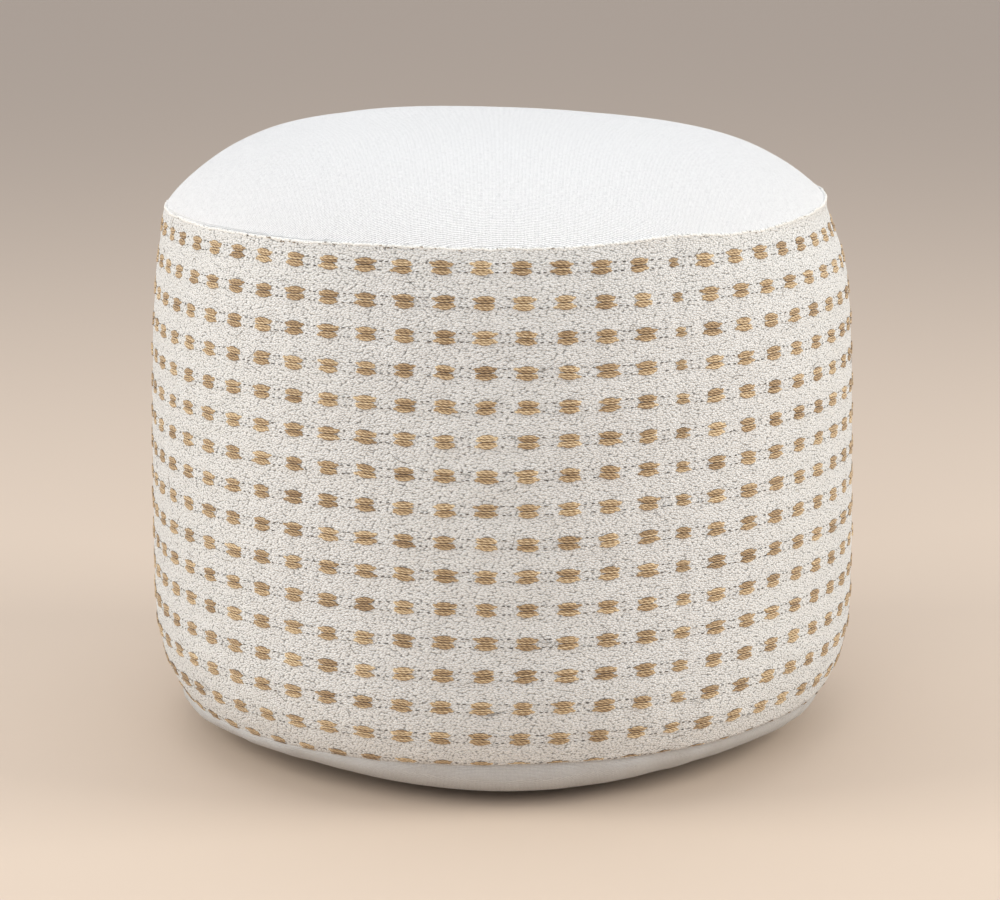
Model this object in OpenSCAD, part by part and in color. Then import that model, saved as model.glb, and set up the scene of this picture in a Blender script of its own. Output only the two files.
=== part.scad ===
// Round floor pouf: a drum-shaped cotton cover with rows of jute motifs, closed
// by a zip at the back of the bottom seam, over a liner bag full of beads.
// Millimetres, +Z up. The origin is the centre of the base, on the floor, and
// -Y is the front. Every piece but the zip pull is turned about the Z axis.

/* [Overall shape] */
// Diameter at the widest height
diameter = 457; // [380:1:560]
// Height of the crown's top above the floor
height = 394; // [340:1:500]
// How far the filled top panel rises above the top seam
crown_rise = 54; // [35:1:90]
// Height of the widest girth above the floor
belly_height = 133; // [110:1:180]
// How far the top seam lies inside the widest girth
top_seam_tuck = 13; // [4:0.5:20]
// How far the bottom seam lies inside the widest girth
bottom_seam_tuck = 17; // [8:0.5:24]
// Height of the bottom seam above the floor
bottom_seam_height = 29; // [24:0.5:40]
// Diameter of the flat patch that rests on the floor
base_diameter = 252; // [160:1:300]

/* [Cloth] */
// Thickness of the woven side band
band_thickness = 2; // [1.5:0.1:3]
// Thickness of the canvas top and bottom panels
canvas_thickness = 1.2; // [0.8:0.1:2]
// Height of canvas turned up or down behind the band at each seam
hem = 8; // [6:0.5:12]
// Thickness of the sewing threads
thread = 0.6; // [0.4:0.1:0.8]

/* [Jute motifs] */
// Number of motifs round the band
motifs_round = 58; // [40:1:72]
// Drop from the top seam to the middle of the first row
first_row_drop = 12.5; // [9:0.5:20]
// Width of a motif along the girth
motif_width = 14.5; // [9:0.5:16]
// Height of a motif
motif_height = 8.2; // [6:0.2:10]
// How far the jute floats stand out from the band
float_thickness = 1.1; // [0.6:0.1:1.6]
// Azimuth of the band's upright join, counted from +X
join_azimuth = 298; // [200:1:340]
// Width of the motifs that the join cuts into, as a share of a whole one
join_motif_share = 0.68; // [0.5:0.02:1]

/* [Zip] */
// Angle of the girth that the zip takes, centred on the back
zip_angle = 120; // [80:1:160]
// Height of the gap between the cloth edges beside the zip
zip_gap = 9; // [8.6:0.1:11]
// Width of the closed chain
chain_width = 4.2; // [3:0.1:4.6]
// Thickness of the chain
chain_thickness = 1.7; // [1.2:0.1:2]
// Thickness of the zip tapes
tape_thickness = 0.6; // [0.4:0.1:0.8]
// How far each tape reaches behind the cloth
tape_lap = 7.5; // [5:0.5:9]
// Length of the slider along the zip
slider_length = 9; // [7:0.5:12]
// Thickness of the slider's outer and inner plates
slider_plate = 1.1; // [0.8:0.1:1.4]
// Running clearance round the slider and the pull
slide_clearance = 0.35; // [0.3:0.05:0.4]
// Length of the pull tab from its crossbar
pull_length = 22; // [16:1:30]
// Width of the pull tab
pull_width = 5; // [4.2:0.1:5.4]
// Thickness of the pull tab
pull_thickness = 1; // [0.8:0.1:1.2]

/* [Liner and fill] */
// Thickness of the liner bag
liner_thickness = 0.5; // [0.3:0.1:0.8]
// Gap between the stitches inside the cover and the liner's face
liner_inset = 0.2; // [0.2:0.1:2]
// Height at which the liner's rounded bottom edge begins
liner_corner_height = 75; // [70:1:90]
// Drop from the top seam to the liner's upper seam
liner_seam_drop = 12; // [10:1:20]

/* [Hidden] */
$fn = 240;
jute_rows = 16;
curve_steps = 24;
band_step = 13;
belly_r = diameter / 2;
base_r = base_diameter / 2;
seam_z = bottom_seam_height;
top_z = height - crown_rise;
top_r = belly_r - top_seam_tuck;
seam_r = belly_r - bottom_seam_tuck;
crown_power = 4.2;
upper_power = 3.2;
lower_power = 5;
row_pitch = (top_z - first_row_drop - seam_z) / (jute_rows - 1);
seam_margin = 0.6;
float_taper = 1.2;
join_thread_angle = 0.25;

// The zip: heights and radii
zip_z = seam_z;
zip_low = zip_z - zip_gap / 2;
zip_high = zip_z + zip_gap / 2;
zip_start = 90 - zip_angle / 2;
tape_rise = 4;
seam_thread_end = 4;
edge_clearance = 0.7;
chain_parting = 0.9;
stop_angle = 0.35;
stop_proud = 0.6;
slider_height = zip_gap - 2 * edge_clearance;
slider_angle = slider_length / seam_r * 180 / PI;
post_angle = slider_angle * 0.4;
post_clearance = 0.25;
post_height = chain_parting - 2 * post_clearance;
flange_height = 0.5;
bail_angle = slider_angle * 0.62;
bail_height = 1.6;
bail_thickness = 0.8;
pin_r = 0.6;
rest_azimuth = zip_start + zip_angle - slider_angle;

function row_name(i) = str("jute_row_", i < 9 ? "0" : "", i + 1);
JUTE_NODES = [for (i = [0 : jute_rows - 1]) row_name(i)];

// ---- Curves -----------------------------------------------------------------

// Radius of the band's face: it bellies out low down and tapers to the top
function barrel(z) =
    z > belly_height
        ? belly_r - top_seam_tuck * pow((z - belly_height) / (top_z - belly_height), upper_power)
        : belly_r - bottom_seam_tuck * pow((belly_height - z) / (belly_height - seam_z), lower_power);

// The band is cut in straight steps, so that whatever lies on it can share its face
wall_steps = ceil((top_z - seam_z) / band_step);
wall_heights = [for (k = [0 : wall_steps]) seam_z + (top_z - seam_z) * k / wall_steps];
wall_table = [for (z = wall_heights) [z, barrel(z)]];
function wall(z) = lookup(z, wall_table);

// Points [radius, height] up the band between two heights, moved out by off
function wall_line(low, high, off) = concat(
    [[wall(low) + off, low]],
    [for (z = wall_heights) if (z > low && z < high) [wall(z) + off, z]],
    [[wall(high) + off, high]]
);

// Points up the rounded bottom edge of a bag, from its flat base to its side
function bag_corner(side_r, side_z, floor_z) = [
    for (k = [0 : curve_steps])
        let (a = 90 * k / curve_steps)
        [base_r + (side_r - base_r) * sin(a), side_z - (side_z - floor_z) * cos(a)]
];

// Points over a crown, from its edge in to the pole
function crown(edge_r, edge_z, pole_z) = [
    for (k = [0 : curve_steps])
        let (r = edge_r * sin(90 * (1 - k / curve_steps)))
        [r, edge_z + (pole_z - edge_z) * (1 - pow(r / edge_r, crown_power))]
];

function backwards(list) = [for (i = [len(list) - 1 : -1 : 0]) list[i]];

// The inner face of the bottom panel as a table, for the tape that lies on it
panel_inner = bag_corner(seam_r - canvas_thickness, seam_z, canvas_thickness);
panel_inner_table = [for (p = panel_inner) [p[1], p[0]]];
function panel_face(z) = lookup(z, panel_inner_table);

// ---- Turned shapes ----------------------------------------------------------

module turned(points) {
    rotate_extrude()
        polygon(points);
}

module turned_sector(points, from, angle) {
    rotate([0, 0, from])
        rotate_extrude(angle = angle)
            polygon(points);
}

function box_outline(r_low, r_high, z_low, z_high) =
    [[r_low, z_low], [r_high, z_low], [r_high, z_high], [r_low, z_high]];

// A strip of even thickness between two lines of the same length
function strip(outer, inner) = concat(outer, backwards(inner));

// ---- Cover ------------------------------------------------------------------

// Crowned canvas disc, with its edge turned down behind the band
module top_panel() {
    inner_edge = top_r - band_thickness - canvas_thickness;
    color("whitesmoke")
        turned(concat(
            crown(top_r, top_z + canvas_thickness, height),
            backwards(crown(inner_edge, top_z, height - canvas_thickness)),
            backwards(wall_line(top_z - hem, top_z, -band_thickness - canvas_thickness)),
            wall_line(top_z - hem, top_z, -band_thickness),
            [[top_r, top_z]]
        ));
}

// The woven tube, with its edge cut back where the zip is let in
module side_band() {
    color("ivory")
        difference() {
            turned(strip(wall_line(seam_z, top_z, 0), wall_line(seam_z, top_z, -band_thickness)));
            zip_opening();
        }
}

// Canvas bag bottom: flat on the floor, round at the edge, turned up behind the band
module bottom_panel() {
    color("whitesmoke")
        difference() {
            turned(concat(
                [[0, 0]],
                bag_corner(seam_r, seam_z, 0),
                [[seam_r - band_thickness, seam_z]],
                wall_line(seam_z + 0.01, seam_z + hem, -band_thickness),
                backwards(wall_line(seam_z - 0.01, seam_z + hem, -band_thickness - canvas_thickness)),
                [[panel_face(seam_z - canvas_thickness) - band_thickness, seam_z - canvas_thickness]],
                backwards([for (p = panel_inner) if (p[1] < seam_z - canvas_thickness) p]),
                [[0, canvas_thickness]]
            ));
            zip_opening();
        }
}

// The gap in the cloth that the zip closes
module zip_opening() {
    turned_sector(
        box_outline(seam_r - 3 * hem, seam_r + hem, zip_low, zip_high),
        zip_start, zip_angle
    );
    turned_sector(
        concat(
            [[seam_r - 3 * hem, zip_low], [wall(zip_high) - band_thickness, zip_high]],
            [[wall(seam_z + hem) - band_thickness, seam_z + hem]],
            [[wall(seam_z + hem) - band_thickness, seam_z + hem + 1]],
            [[seam_r - 3 * hem, seam_z + hem + 1]]
        ),
        zip_start, zip_angle
    );
}

// ---- Jute -------------------------------------------------------------------

function row_z(i) = top_z - first_row_drop - i * row_pitch;
function whole_angle() = motif_width / belly_r * 180 / PI;
function in_zip(a) = a > zip_start - whole_angle() && a < zip_start + zip_angle + whole_angle();

// One row of motifs. The bottom seam cuts through the last row, and the zip replaces part of it.
module jute_row(i) {
    low = max(row_z(i) - motif_height / 2, seam_z + seam_margin);
    high = row_z(i) + motif_height / 2;
    last = i == jute_rows - 1;
    float_profile = strip(
        concat(
            [[wall(low), low]],
            wall_line(low + float_taper, high - float_taper, float_thickness),
            [[wall(high), high]]
        ),
        [for (p = wall_line(low, high, 0)) if (p[1] > low && p[1] < high) p]
    );
    color("peru")
        for (k = [0 : motifs_round - 1]) {
            azimuth = (join_azimuth + k * 360 / motifs_round) % 360;
            angle = whole_angle() * (k == 0 ? join_motif_share : 1);
            if (!(last && in_zip(azimuth)))
                turned_sector(float_profile, azimuth - angle / 2, angle);
        }
}

// ---- Sewing threads ---------------------------------------------------------

// The seam behind the top edge, through the band and the turned-down canvas
module top_seam_thread() {
    z = top_z - hem * 0.7;
    inset = -band_thickness - canvas_thickness;
    color("linen")
        turned(strip(wall_line(z - thread, z, inset), wall_line(z - thread, z, inset - thread)));
}

// The same seam at the bottom, where there is no zip
module bottom_seam_thread() {
    z = seam_z + hem * 0.7;
    inset = -band_thickness - canvas_thickness;
    color("linen")
        turned_sector(
            strip(wall_line(z, z + thread, inset), wall_line(z, z + thread, inset - thread)),
            zip_start + zip_angle + seam_thread_end, 360 - zip_angle - 2 * seam_thread_end
        );
}

// The upright seam that closes the band into a tube, on its inner face
module side_join_thread() {
    low = seam_z + hem + 1;
    high = top_z - hem - 1;
    color("linen")
        turned_sector(
            strip(
                wall_line(low, high, -band_thickness),
                wall_line(low, high, -band_thickness - thread)
            ),
            join_azimuth - join_thread_angle / 2, join_thread_angle
        );
}

// Two lines of stitches that hold the zip tapes to the band and to the bottom panel
module zip_seam_threads() {
    upper = zip_high + tape_rise + thread;
    upper_inset = -band_thickness - tape_thickness;
    lower = zip_low - tape_lap * 0.5;
    lower_r = panel_face(lower) - tape_thickness;
    color("linen") {
        turned_sector(
            strip(
                wall_line(upper, upper + thread, upper_inset),
                wall_line(upper, upper + thread, upper_inset - thread)
            ),
            zip_start, zip_angle
        );
        turned_sector(
            [[lower_r, lower], [panel_face(lower + thread) - tape_thickness, lower + thread],
             [panel_face(lower + thread) - tape_thickness - thread, lower + thread],
             [lower_r - thread, lower]],
            zip_start, zip_angle
        );
    }
}

// ---- Zip --------------------------------------------------------------------

tape_r = panel_face(zip_low);
chain_face = tape_r + chain_thickness;
upper_tape_from = zip_z + chain_parting / 2;
lower_tape_to = zip_z - chain_parting / 2;

// Upper tape: upright behind the chain, then out to the band's inner face and up it
module zip_tape_upper() {
    outer = concat(
        [[tape_r, upper_tape_from], [tape_r, zip_high]],
        wall_line(zip_high + tape_rise, zip_high + tape_lap, -band_thickness)
    );
    color("gainsboro")
        turned_sector(
            strip(outer, [for (p = outer) [p[0] - tape_thickness, p[1]]]),
            zip_start, zip_angle
        );
}

// Lower tape: upright behind the chain, then down the bottom panel's inner face
module zip_tape_lower() {
    bottom = zip_low - tape_lap;
    outer = concat(
        [[panel_face(bottom), bottom]],
        [for (p = panel_inner) if (p[1] > bottom && p[1] < zip_low) p],
        [[tape_r, zip_low], [tape_r, lower_tape_to]]
    );
    color("gainsboro")
        turned_sector(
            strip(outer, [for (p = outer) [p[0] - tape_thickness, p[1]]]),
            zip_start, zip_angle
        );
}

// Half of the closed chain. A hairline parts the halves, and the slider's post runs in it.
module chain_half(from, to) {
    color("white")
        turned_sector(
            box_outline(tape_r, chain_face, from, to),
            zip_start + stop_angle, zip_angle - 2 * stop_angle
        );
}

module zip_chain_upper() {
    chain_half(upper_tape_from, zip_z + chain_width / 2);
}

module zip_chain_lower() {
    chain_half(zip_z - chain_width / 2, lower_tape_to);
}

// A clip across the chain at each end, which stops the slider
module zip_stops() {
    stop_outline = box_outline(
        tape_r, chain_face + stop_proud, zip_z - chain_width / 2, zip_z + chain_width / 2
    );
    color("silver") {
        turned_sector(stop_outline, zip_start, stop_angle);
        turned_sector(stop_outline, zip_start + zip_angle - stop_angle, stop_angle);
    }
}

// The slider's radii, counted out from the tapes
inner_plate_r = tape_r - tape_thickness - slide_clearance;
outer_plate_r = chain_face + slide_clearance;
slider_face = outer_plate_r + slider_plate;
pin_axis_r = slider_face + slide_clearance + pin_r;
bail_r = pin_axis_r + pin_r + slide_clearance;

module slider_piece(r_low, r_high, tall, angle, z = zip_z, turn = 0) {
    turned_sector(
        box_outline(r_low, r_high, z - tall / 2, z + tall / 2),
        rest_azimuth + turn - angle / 2, angle
    );
}

// Two plates joined by a post through the parted chain, with flanges and a bail for the pull
module zip_slider() {
    low = zip_z - slider_height / 2 + flange_height / 2;
    high = zip_z + slider_height / 2 - flange_height / 2;
    leg_angle = bail_angle * 0.16;
    color("silver")
        union() {
            slider_piece(outer_plate_r, slider_face, slider_height, slider_angle);
            slider_piece(inner_plate_r - slider_plate, inner_plate_r, slider_height, slider_angle);
            slider_piece(inner_plate_r - slider_plate / 2, outer_plate_r + slider_plate / 2,
                         post_height, post_angle);
            for (z = [low, high])
                slider_piece(chain_face - chain_thickness / 2, outer_plate_r + slider_plate / 2,
                             flange_height, slider_angle, z);
            slider_piece(bail_r, bail_r + bail_thickness, bail_height, bail_angle);
            for (side = [-1, 1])
                slider_piece(slider_face - slider_plate / 2, bail_r + bail_thickness / 2, bail_height,
                             leg_angle, zip_z, side * (bail_angle - leg_angle) / 2);
        }
}

// The pull: a flat tab whose window takes the bail, with a crossbar held under it
module zip_pull() {
    window = bail_angle / 2 * PI / 180 * bail_r + bail_thickness + 1.2;
    window_height = bail_height + 2 * slide_clearance;
    straight = pull_length - pull_width / 2;
    color("silver")
        rotate([0, 0, rest_azimuth])
            translate([pin_axis_r, 0, zip_z])
                union() {
                    cylinder(r = pin_r, h = pull_width, center = true, $fn = 32);
                    difference() {
                        translate([-pull_thickness / 2, -straight, -pull_width / 2])
                            cube([pull_thickness, straight, pull_width]);
                        translate([-pull_thickness, -window, -window_height / 2])
                            cube([2 * pull_thickness, 2 * window, window_height]);
                    }
                    translate([0, -straight, 0])
                        rotate([0, 90, 0])
                            cylinder(d = pull_width, h = pull_thickness, center = true, $fn = 48);
                }
}

// ---- Liner bag and fill -----------------------------------------------------

liner_depth = band_thickness + canvas_thickness + thread + liner_inset;
liner_top_z = top_z - liner_seam_drop;
liner_edge_z = top_z - canvas_thickness / 2;
liner_pole_z = height - 2 * canvas_thickness;
liner_side_r = wall(liner_corner_height) - liner_depth;

// Points over the liner's crown, from its upper seam to the pole, in off from its face
function liner_crown(off) = concat(
    wall_line(liner_top_z, liner_edge_z - off - 1, -liner_depth - off),
    crown(top_r - liner_depth - off, liner_edge_z - off, liner_pole_z - off)
);

module liner_top() {
    color("snow")
        turned(strip(liner_crown(0), liner_crown(liner_thickness)));
}

module liner_side() {
    color("snow")
        turned(strip(
            wall_line(liner_corner_height, liner_top_z, -liner_depth),
            wall_line(liner_corner_height, liner_top_z, -liner_depth - liner_thickness)
        ));
}

// Points round the liner's bottom, from the middle of its base to its side, in off from its face
function liner_base(off) = concat(
    [[0, canvas_thickness + off]],
    bag_corner(liner_side_r - off, liner_corner_height, canvas_thickness + off)
);

module liner_bottom() {
    color("snow")
        turned(strip(liner_base(0), liner_base(liner_thickness)));
}

// The liner's two round seams, on its outer face
module liner_seam_threads() {
    color("linen")
        for (z = [liner_corner_height + thread, liner_top_z])
            turned(strip(
                wall_line(z - thread, z, thread - liner_depth),
                wall_line(z - thread, z, -liner_depth)
            ));
}

// The loose beads, drawn as the one body that they press out to
module bead_fill() {
    color("white")
        turned(concat(
            liner_base(liner_thickness),
            wall_line(liner_corner_height + 0.01, liner_top_z - 0.01, -liner_depth - liner_thickness),
            liner_crown(liner_thickness)
        ));
}

// ---- Nodes ------------------------------------------------------------------

top_panel();
side_band();
bottom_panel();
for (i = [0 : jute_rows - 1]) jute_row(i);
top_seam_thread();
bottom_seam_thread();
side_join_thread();
zip_seam_threads();
zip_tape_upper();
zip_tape_lower();
zip_chain_upper();
zip_chain_lower();
zip_stops();
zip_slider();
zip_pull();
liner_top();
liner_side();
liner_bottom();
liner_seam_threads();
bead_fill();
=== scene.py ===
import math
import random

import bmesh
import bpy
from mathutils import Matrix, Vector, noise


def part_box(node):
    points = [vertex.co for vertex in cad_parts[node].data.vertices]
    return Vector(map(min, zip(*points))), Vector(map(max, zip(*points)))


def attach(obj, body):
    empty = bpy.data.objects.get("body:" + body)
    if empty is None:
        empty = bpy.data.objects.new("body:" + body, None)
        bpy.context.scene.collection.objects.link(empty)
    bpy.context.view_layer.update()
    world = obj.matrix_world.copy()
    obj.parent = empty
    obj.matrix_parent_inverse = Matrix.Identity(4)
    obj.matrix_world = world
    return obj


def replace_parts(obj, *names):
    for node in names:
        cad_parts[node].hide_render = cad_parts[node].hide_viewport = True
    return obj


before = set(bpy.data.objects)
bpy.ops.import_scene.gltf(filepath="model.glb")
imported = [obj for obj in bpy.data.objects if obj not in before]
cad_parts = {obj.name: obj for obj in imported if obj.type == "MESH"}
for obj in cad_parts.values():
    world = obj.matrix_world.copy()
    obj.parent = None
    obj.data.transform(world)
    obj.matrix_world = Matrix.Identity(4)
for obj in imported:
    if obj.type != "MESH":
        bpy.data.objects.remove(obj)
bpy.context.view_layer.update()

# ---- Camera -----------------------------------------------------------------
# A long lens a little under two metres from the pouf and just above its top, so the
# crown shows as a shallow ellipse and the side band stands nearly upright.
camera_distance = 1.885
camera_elevation = math.radians(11.7)
orbit_centre = Vector((0, 0, 0.190))
aim_point = Vector((-0.0014, 0, 0.1768))
camera_data = bpy.data.cameras.new("studio_camera")
camera_data.lens = 103.6
camera_data.sensor_width = 36
camera_data.dof.use_dof = False
camera = bpy.data.objects.new("studio_camera", camera_data)
camera.location = orbit_centre + camera_distance * Vector(
    (0, -math.cos(camera_elevation), math.sin(camera_elevation))
)
camera.rotation_euler = (aim_point - camera.location).to_track_quat("-Z", "Y").to_euler()
bpy.context.collection.objects.link(camera)
bpy.context.scene.camera = camera

# ---- Floor ------------------------------------------------------------------
# A plain pale floor, wide enough to fill every view, with a soft matte face.
floor_half = 16.0
floor_mesh = bpy.data.meshes.new("studio_floor")
shape = bmesh.new()
bmesh.ops.create_grid(shape, x_segments=4, y_segments=4, size=floor_half)
shape.to_mesh(floor_mesh)
shape.free()
floor = bpy.data.objects.new("studio_floor", floor_mesh)
bpy.context.collection.objects.link(floor)
floor_paint = bpy.data.materials.new("studio_floor")
floor_paint.use_nodes = True
floor_shader = floor_paint.node_tree.nodes["Principled BSDF"]
floor_shader.inputs["Base Color"].default_value = (0.62, 0.51, 0.415, 1)
floor_shader.inputs["Roughness"].default_value = 0.75
floor_mesh.materials.append(floor_paint)

# ---- Studio light -----------------------------------------------------------
# A large soft box overhead, one on each flank and a weak one in front, in a pale room.


def soft_box(name, place, target, width, height, power, tint=(1, 1, 1)):
    """An area light at a place, turned to face a target."""
    light = bpy.data.lights.new(name, "AREA")
    light.shape = "RECTANGLE"
    light.size = width
    light.size_y = height
    light.energy = power
    light.color = tint
    lamp = bpy.data.objects.new(name, light)
    lamp.location = place
    lamp.rotation_euler = (Vector(target) - Vector(place)).to_track_quat("-Z", "Y").to_euler()
    bpy.context.collection.objects.link(lamp)


soft_box("top_soft_box", (-0.2, 0.1, 2.4), (0, 0, 0.3), 1.8, 1.8, 12)
soft_box("left_soft_box", (-2.2, -0.5, 1.3), (0, 0, 0.25), 1.2, 1.4, 31, (1, 0.985, 0.92))
soft_box("right_soft_box", (2.2, -0.4, 1.3), (0, 0, 0.25), 1.2, 1.4, 37, (1, 0.985, 0.92))
soft_box("front_soft_box", (-0.5, -2.8, 1.9), (0, 0, 0.2), 1.6, 1.2, 17)
room = bpy.data.worlds.new("pale_room")
room.use_nodes = True
room.node_tree.nodes["Background"].inputs["Color"].default_value = (0.95, 0.96, 1, 1)
room.node_tree.nodes["Background"].inputs["Strength"].default_value = 0.64
bpy.context.scene.world = room
bpy.context.scene.view_settings.view_transform = "Standard"

# ---- Side band --------------------------------------------------------------
# A handwoven cotton strip, joined into a tube by one upright seam. The fill pushes it
# out to a barrel, and its upper edge is folded under and sewn over the canvas top.
band_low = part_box("side_band")[0][2]
band_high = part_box("side_band")[1][2]
belly_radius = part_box("side_band")[1][0]
top_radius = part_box("top_panel")[1][0]
seam_radius = belly_radius - 0.017
belly_height = 0.133
upper_power = 3.2
lower_power = 5
cloth = 0.002
band_turns = 560
band_rows = 140
join_azimuth = math.radians(297.6)
zip_azimuth = math.radians(90)
zip_half_angle = math.radians(60)
zip_gap = 0.009
zip_fade_start = zip_half_angle - math.radians(0.5)
zip_fade_end = zip_half_angle + math.radians(1.5)
front_azimuth = math.radians(270)
shoulder_draw = 0.0085
shoulder_lift = 0.0060
weld = 1e-6


def barrel(z):
    """Radius of the band's face at a height: it bellies out low down and tapers upwards."""
    if z > belly_height:
        share = (z - belly_height) / (band_high - belly_height)
        return belly_radius - (belly_radius - top_radius) * share**upper_power
    share = min((belly_height - z) / (belly_height - band_low), 1.05)
    return belly_radius - (belly_radius - seam_radius) * share**lower_power


def smooth_step(value, start, end):
    """0 before start, 1 after end, and a smooth rise between."""
    t = min(max((value - start) / (end - start), 0), 1)
    return t * t * (3 - 2 * t)


def turned_from(azimuth, origin):
    """Angle from an origin azimuth, between -pi and pi."""
    return (azimuth - origin + math.pi) % (2 * math.pi) - math.pi


def zip_open(azimuth):
    """1 where the zip keeps the cloth edges apart, falling to 0 at its ends."""
    away = abs(turned_from(azimuth, zip_azimuth))
    return 1 - smooth_step(away, zip_fade_start, zip_fade_end)


def near_zip(azimuth):
    """1 along the zip, where the cloth lies true, falling to 0 some way past its ends."""
    away = abs(turned_from(azimuth, zip_azimuth)) - zip_half_angle
    return 1 - smooth_step(away, math.radians(2), math.radians(24))


def seam_drift(azimuth):
    """How far the hand-sewn bottom seam wanders above or below its line."""
    slow = 0.0034 * math.sin(azimuth - math.radians(250)) + 0.0004
    quick = 0.0004 * math.sin(7 * azimuth) + 0.0002 * math.sin(17 * azimuth + 1)
    return (slow + quick) * (1 - near_zip(azimuth))


def band_edge(azimuth):
    """Height of the band's lower edge, which lifts where the zip is let in."""
    opened = zip_open(azimuth)
    return band_low + seam_drift(azimuth) * (1 - opened) + opened * zip_gap / 2


def drawn_in(azimuth):
    """0 to 1: how far the top seam has been drawn over the shoulder, on the side at +X."""
    return max(math.cos(azimuth), 0) ** 4


def band_face(azimuth, height):
    """Radius of the finished band's face, with the slow unevenness of hand-filled cloth."""
    c, s = math.cos(azimuth), math.sin(azimuth)
    inside = min(max(height, band_low - 0.004), band_high)
    sway = 0.0020 * noise.noise(Vector((2.2 * c, 2.2 * s, 7 * height)))
    lump = 0.0006 * noise.noise(Vector((14 * c, 14 * s, 45 * height)))
    nub = 0.00035 * noise.noise(Vector((44 * c, 44 * s, 190 * height)))
    from_join = turned_from(azimuth, join_azimuth) * belly_radius
    crease = 0.0008 * math.exp(-((from_join / 0.003) ** 2))
    calm = 0.012 * near_zip(azimuth)
    quiet = smooth_step(height, band_low + calm, band_low + 0.006 + 2 * calm)
    near_top = smooth_step(height, band_high - 0.055, band_high + 0.006)
    shoulder = shoulder_draw * drawn_in(azimuth) * near_top**1.6
    return barrel(inside) + (sway + lump + nub) * quiet - crease - shoulder


def turn(points, steps):
    """A grid rolled up about Z, whose rings follow an outline of (radius, height) points."""
    bm = bmesh.new()
    last = len(points) - 1
    bmesh.ops.create_grid(bm, x_segments=steps, y_segments=last, size=0.5)
    for v in bm.verts:
        angle = 2 * math.pi * (v.co.x + 0.5)
        r, z = points[round((v.co.y + 0.5) * last)]
        v.co = (r * math.cos(angle), r * math.sin(angle), z)
    bmesh.ops.remove_doubles(bm, verts=bm.verts, dist=weld)
    bmesh.ops.recalc_face_normals(bm, faces=bm.faces)
    return bm


def add_piece(name, bm, material, body="cover"):
    """Makes a smooth object of a bmesh, with its material, slot and body."""
    mesh = bpy.data.meshes.new(name)
    bm.to_mesh(mesh)
    bm.free()
    mesh.materials.append(material)
    mesh.polygons.foreach_set("use_smooth", [True] * len(mesh.polygons))
    piece = bpy.data.objects.new(name, mesh)
    bpy.context.collection.objects.link(piece)
    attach(piece, body)
    return piece


def copy_cad(node):
    """A bmesh of a CAD piece, its split vertices merged."""
    bm = bmesh.new()
    bm.from_mesh(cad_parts[node].data)
    bmesh.ops.remove_doubles(bm, verts=bm.verts, dist=weld)
    return bm


def finish_nodes(material, *nodes):
    """Gives CAD pieces that are kept as they are their real material."""
    for node in nodes:
        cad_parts[node].data.materials.clear()
        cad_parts[node].data.materials.append(material)


def calc(tree, operation, *values):
    """A Math node, each of whose inputs is a number or another node's output."""
    node = tree.nodes.new("ShaderNodeMath")
    node.operation = operation
    for socket, value in zip(node.inputs, values):
        if isinstance(value, (int, float)):
            socket.default_value = value
        else:
            tree.links.new(value, socket)
    return node.outputs[0]


def put(tree, kind, settings=(), **inputs):
    """A node of a kind, with its settings, and inputs that are values or outputs."""
    node = tree.nodes.new(kind)
    for label, value in settings:
        setattr(node, label, value)
    for label, value in inputs.items():
        socket = node.inputs[label.replace("_", " ")]
        if isinstance(value, bpy.types.NodeSocket):
            tree.links.new(value, socket)
        else:
            socket.default_value = value
    return node


def start_group(name, inputs, outputs):
    """A new shader node group with its named sockets, and its two end nodes."""
    tree = bpy.data.node_groups.new(name, "ShaderNodeTree")
    for label, kind in inputs:
        tree.interface.new_socket(label, in_out="INPUT", socket_type="NodeSocket" + kind)
    for label, kind in outputs:
        tree.interface.new_socket(label, in_out="OUTPUT", socket_type="NodeSocket" + kind)
    return tree, tree.nodes.new("NodeGroupInput").outputs, tree.nodes.new("NodeGroupOutput").inputs


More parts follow.
